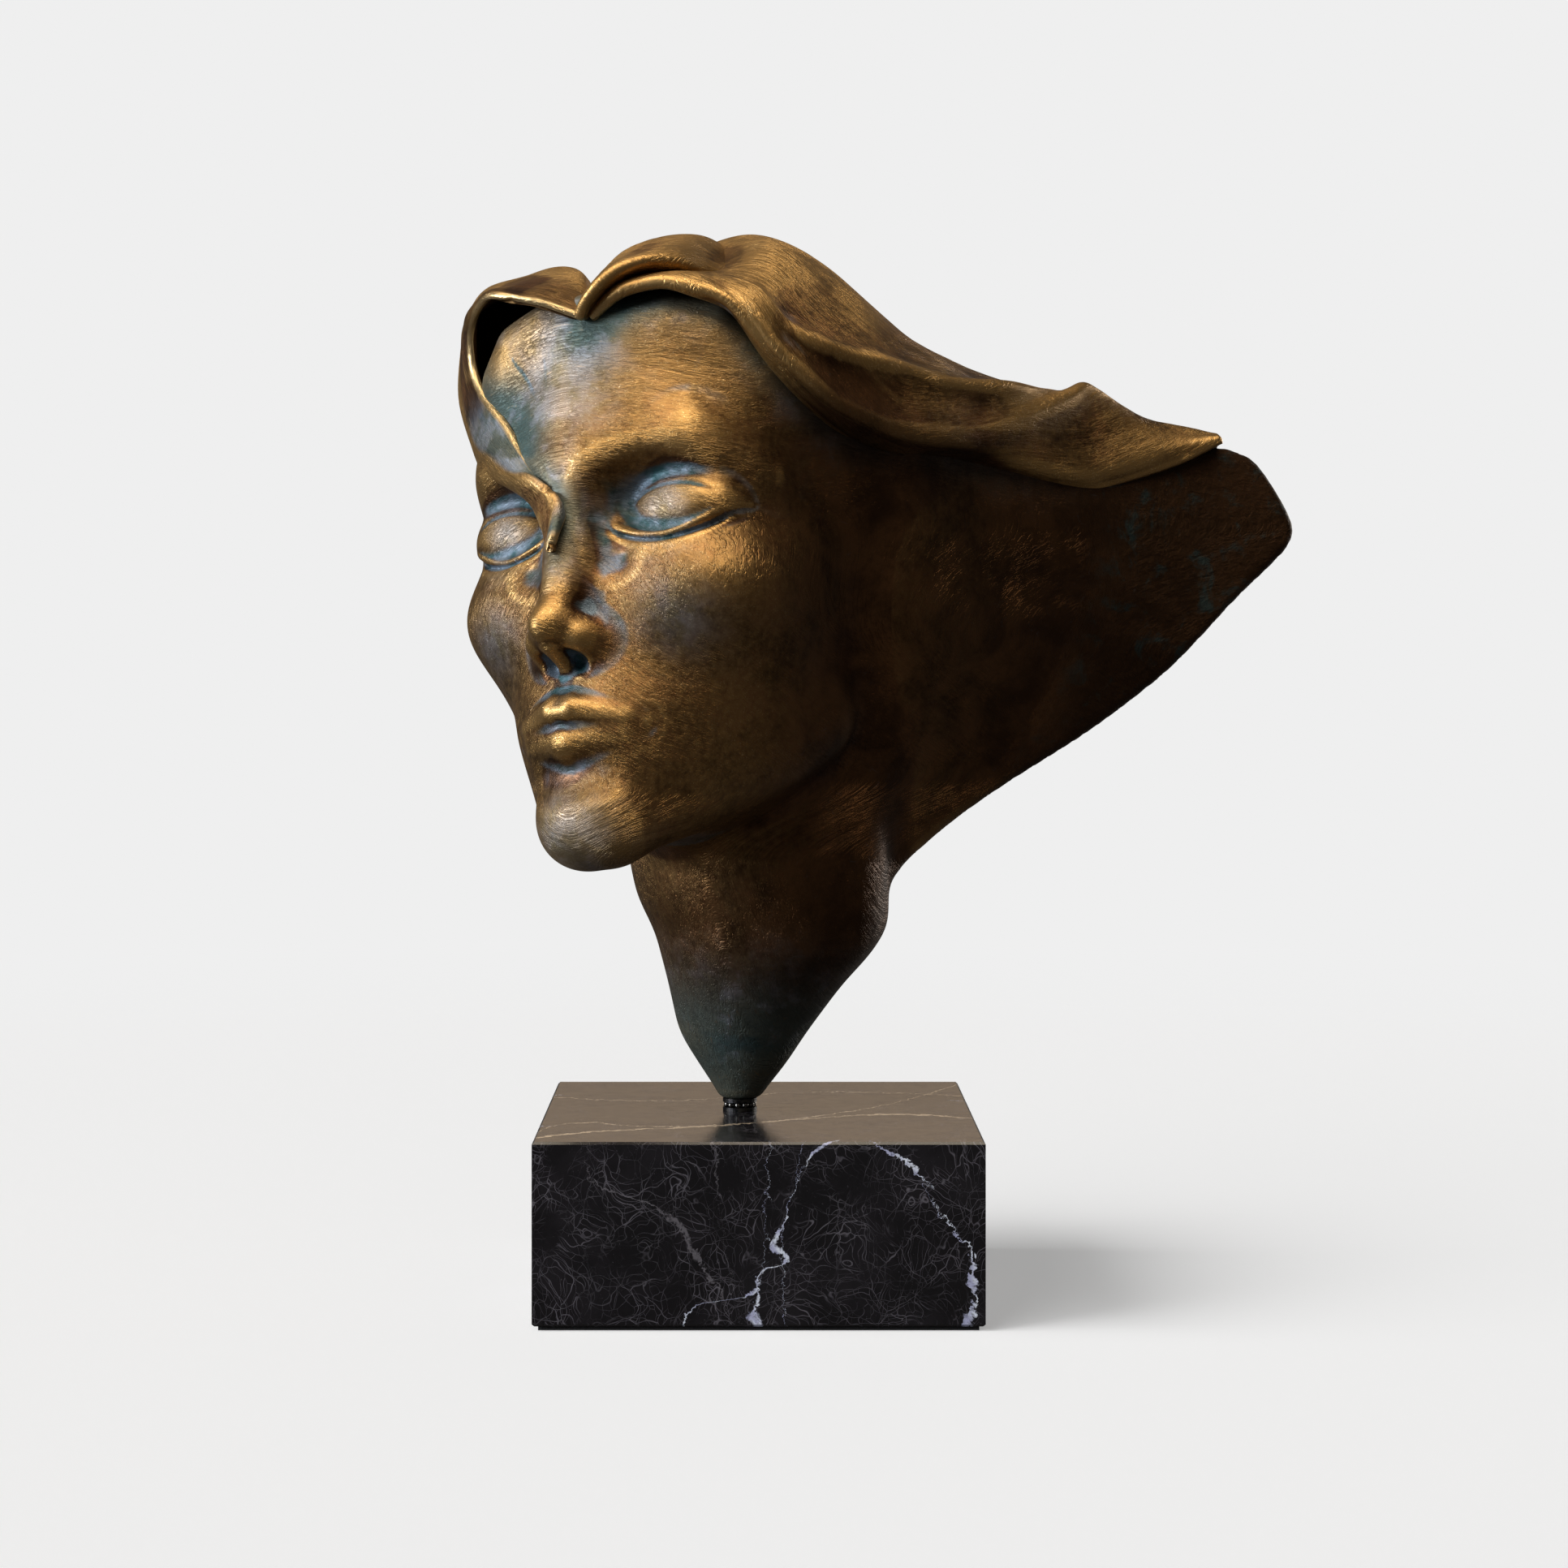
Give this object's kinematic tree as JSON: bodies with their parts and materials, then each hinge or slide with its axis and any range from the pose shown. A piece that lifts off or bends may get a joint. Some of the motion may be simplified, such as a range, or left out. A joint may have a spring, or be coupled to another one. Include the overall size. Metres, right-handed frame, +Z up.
{
  "type": "bronze head sculpture on a stone block",
  "caption": "Hollow bronze mask of a calm head with wind-swept hair that turns on a small ball race, standing on a veined black marble block.",
  "frame": {"origin": "middle of the felt under the block, on the surface the sculpture stands on", "axes": "+Z up, -Y towards the viewer of the face, +X the side that the hair streams to"},
  "size_m": [0.3008, 0.1811, 0.3714],
  "materials": {
    "bronze": "patinated bronze, brushed gold on the folds and blue-green in the hollows",
    "dark_bronze": "dark brown patina, waxed",
    "marble": "polished black marble with white veins",
    "steel": "zinc plated",
    "black_steel": "blackened and polished",
    "bush_brass": "turned",
    "nylon": "moulded",
    "felt": "pressed wool felt"
  },
  "bodies": {
    "base": {"felt_pad": "felt", "marble_block": "marble", "bush": "bush_brass", "race_lower": "black_steel"},
    "ball_ring": {"ball_01": "black_steel", "ball_02": "black_steel", "ball_03": "black_steel", "ball_04": "black_steel", "ball_05": "black_steel", "ball_06": "black_steel", "ball_07": "black_steel", "ball_08": "black_steel", "ball_09": "black_steel", "ball_10": "black_steel", "ball_11": "black_steel"},
    "head": {"face_casting": "bronze", "temple_lock": "bronze", "crown_lock": "bronze", "mantle": "bronze", "veil": "dark_bronze", "race_upper": "black_steel", "stud": "steel", "neck_washer": "steel", "neck_nut": "steel", "thrust_washer": "steel", "disc_spring_upper": "steel", "disc_spring_lower": "steel", "lock_nut": "steel", "nylon_ring": "nylon"}
  },
  "joints": [
    {"name": "head_swivel", "type": "hinge", "parent": "base", "child": "head", "pos_m": [-0.0065, 0, 0.0648], "axis": [0, 0, 1], "continuous": true},
    {"name": "ball_orbit", "type": "hinge", "parent": "base", "child": "ball_ring", "pos_m": [-0.0065, 0, 0.0648], "axis": [0, 0, 1], "continuous": true}
  ],
  "couplings": [
    {"joint": "ball_orbit", "follows": "head_swivel", "ratio": 0.5}
  ]
}
